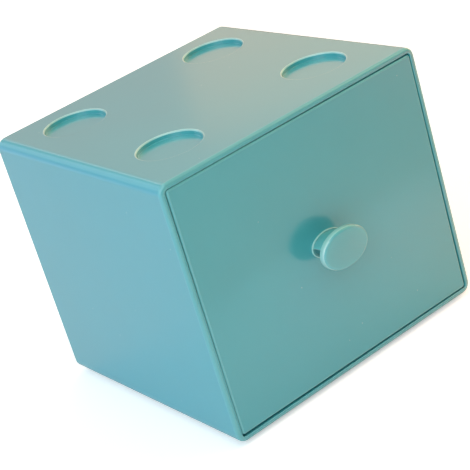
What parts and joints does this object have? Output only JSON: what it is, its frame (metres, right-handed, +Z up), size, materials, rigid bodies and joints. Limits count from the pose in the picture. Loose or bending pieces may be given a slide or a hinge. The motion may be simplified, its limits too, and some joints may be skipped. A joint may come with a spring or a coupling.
{
  "type": "stacking storage drawer",
  "caption": "Small stacking storage box: open-front casing, pull-out drawer with an oval knob, and round roof recesses that take the feet of the box above.",
  "frame": {"origin": "middle of the rectangle of feet, on the surface they stand on", "axes": "+Z up, -Y out of the drawer's front, +X to the right seen from the front"},
  "size_m": [0.12, 0.1236, 0.1053],
  "materials": {
    "casing": "satin moulded",
    "drawer": "satin moulded",
    "knob": "satin moulded"
  },
  "bodies": {
    "casing": {"casing": "casing"},
    "drawer": {"drawer": "drawer", "knob": "knob"}
  },
  "joints": [
    {"name": "drawer_slide", "type": "slide", "parent": "casing", "child": "drawer", "axis": [0, -1, 0], "range_m": [0, 0.085]}
  ]
}
